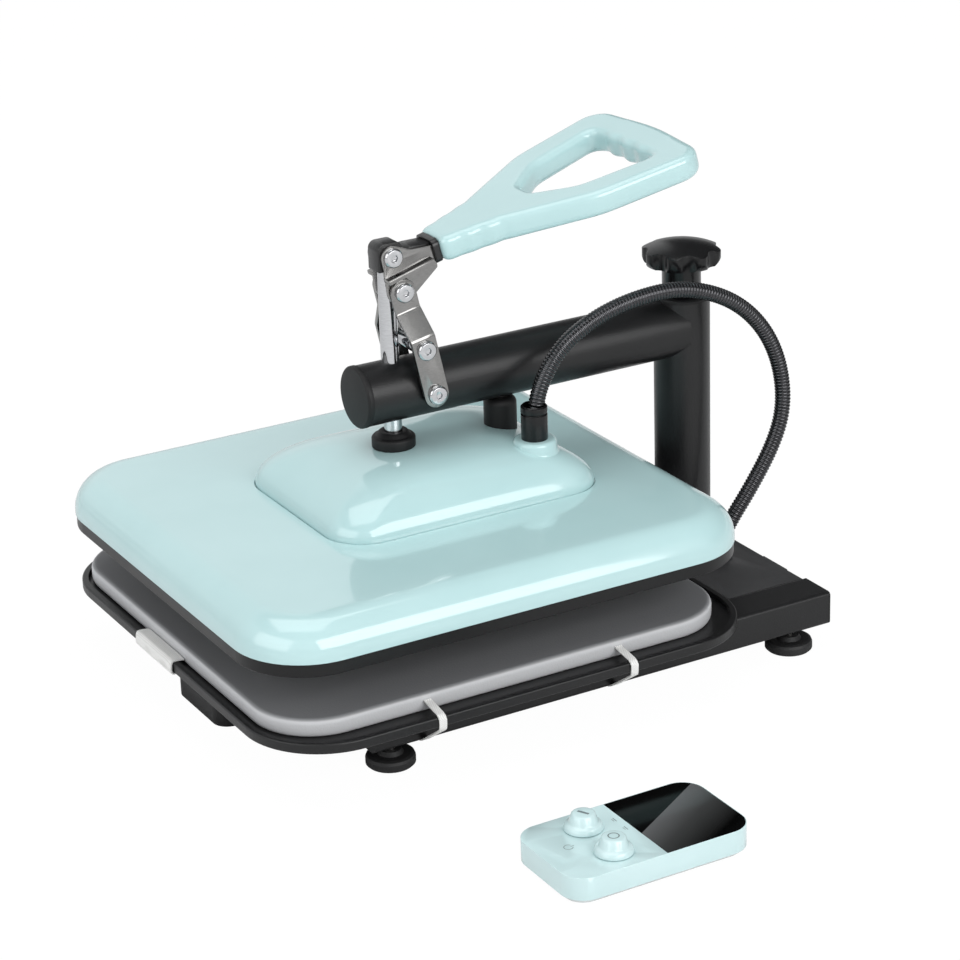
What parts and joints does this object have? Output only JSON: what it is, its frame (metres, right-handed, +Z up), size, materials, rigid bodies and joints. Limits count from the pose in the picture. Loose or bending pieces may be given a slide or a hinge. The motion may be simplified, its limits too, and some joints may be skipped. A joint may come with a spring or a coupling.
{
  "type": "swing away bench heat press",
  "caption": "Bench heat press: square padded lower platen, domed heated platen on a swing arm with a toggle handle and a pressure knob, and a separate control pad.",
  "frame": {"origin": "on the bench top, straight below the axis of the press rod", "axes": "+X to the operator's right, +Y from the front to the rear where the post stands, +Z up"},
  "size_m": [0.6226, 0.5374, 0.3936],
  "materials": {
    "frame_black": "satin powder coat",
    "deck_black": "satin powder coat",
    "black_plastic": "moulded",
    "white_plastic": "moulded",
    "gloss_black": "polished",
    "black_rubber": "moulded",
    "mint_plastic": "glossy",
    "pad_silicone": "matt",
    "white_webbing": "woven",
    "insulation": "felted fibre",
    "bright_steel": "satin plated",
    "chromed": "bright plated",
    "dark_iron": "painted casting",
    "brass_parts": "turned",
    "aluminium_plate": "coated",
    "element_steel": "heat tinted",
    "transformer_iron": "lacquered",
    "circuit_board": "solder mask",
    "display_glass": "dark tinted",
    "guide_tube_steel": "satin powder coat"
  },
  "bodies": {
    "base": {"left_side_beam": "frame_black", "right_side_beam": "frame_black", "beam_end_caps": "black_plastic", "cross_rails": "frame_black", "spine_channel": "frame_black", "power_board": "circuit_board", "power_transformer": "transformer_iron", "rear_deck": "deck_black", "deck_floor": "frame_black", "power_inlet": "black_plastic", "rubber_feet": "black_rubber", "foot_studs": "bright_steel", "platen_tray": "frame_black", "silicone_pad": "pad_silicone", "elastic_straps": "white_webbing", "fabric_tag": "white_webbing", "spindle": "frame_black", "lift_nut": "brass_parts", "base_gland": "black_plastic", "conduit": "black_rubber"},
    "carriage": {"lift_sleeve": "frame_black"},
    "knob": {"pressure_knob": "gloss_black", "lift_screw": "chromed"},
    "arm": {"post_tube": "frame_black", "post_bushes": "brass_parts", "post_cap": "black_plastic", "arm_tube": "frame_black", "arm_cap": "black_plastic", "rod_guide_tube": "guide_tube_steel", "guide_pin": "bright_steel", "link_pivot_pin": "frame_black"},
    "platen": {"heat_cover": "mint_plastic", "dome_housing": "mint_plastic", "rim_frame": "black_plastic", "heating_plate": "aluminium_plate", "heating_element": "element_steel", "insulation_mat": "insulation", "backing_plate": "bright_steel", "thermal_cutout": "element_steel", "press_rod": "chromed", "rod_head": "dark_iron", "rod_collar": "black_plastic", "guide_sleeve": "black_plastic", "conduit_gland": "black_plastic"},
    "handle": {"bracket_plates": "bright_steel", "bracket_pin": "chromed", "handle_shank": "dark_iron", "handle_ferrule": "dark_iron", "handle_grip": "mint_plastic"},
    "links": {"left_link": "bright_steel", "right_link": "bright_steel", "link_spacer": "chromed", "link_bolts": "chromed"},
    "control_pad": {"pad_top_shell": "mint_plastic", "pad_bottom_shell": "white_plastic", "pad_feet": "black_rubber", "display_glass": "display_glass", "pad_board": "circuit_board"},
    "dial_left": {"left_dial": "mint_plastic"},
    "dial_right": {"right_dial": "mint_plastic"}
  },
  "joints": [
    {"name": "arm_lift", "type": "slide", "parent": "base", "child": "carriage", "axis": [0, 0, 1], "range_m": [-0.0145, 0.0055], "deforming": ["conduit"]},
    {"name": "knob_turn", "type": "hinge", "parent": "carriage", "child": "knob", "pos_m": [0, 0.2655, 0.28], "axis": [0, 0, 1], "range_deg": [-2611, 991]},
    {"name": "arm_swing", "type": "hinge", "parent": "carriage", "child": "arm", "pos_m": [0, 0.2655, 0.2255], "axis": [0, 0, 1], "range_deg": [0, 100], "deforming": ["conduit"]},
    {"name": "platen_press", "type": "slide", "parent": "arm", "child": "platen", "axis": [0, 0, -1], "range_m": [0, 0.0246], "deforming": ["conduit"]},
    {"name": "handle_pull", "type": "hinge", "parent": "platen", "child": "handle", "pos_m": [0, 0, 0.334], "axis": [1, 0, 0], "range_deg": [0, 75.1]},
    {"name": "link_turn", "type": "hinge", "parent": "handle", "child": "links", "pos_m": [0, 0.0062, 0.3066], "axis": [1, 0, 0], "range_deg": [-90.3, 0]},
    {"name": "pad_lift", "type": "slide", "parent": "base", "child": "control_pad", "axis": [0, 0, 1], "range_m": [0, 0.12]},
    {"name": "dial_left_turn", "type": "hinge", "parent": "control_pad", "child": "dial_left", "pos_m": [0.3515, -0.049, 0.028], "axis": [0, 0, 1], "continuous": true},
    {"name": "dial_right_turn", "type": "hinge", "parent": "control_pad", "child": "dial_right", "pos_m": [0.3905, -0.049, 0.028], "axis": [0, 0, 1], "continuous": true}
  ],
  "couplings": [
    {"joint": "knob_turn", "follows": "arm_lift", "rad_per_m": 3141.6},
    {"joint": "handle_pull", "follows": "platen_press", "rad_per_m": 53.19},
    {"joint": "link_turn", "follows": "platen_press", "rad_per_m": -63.97}
  ]
}
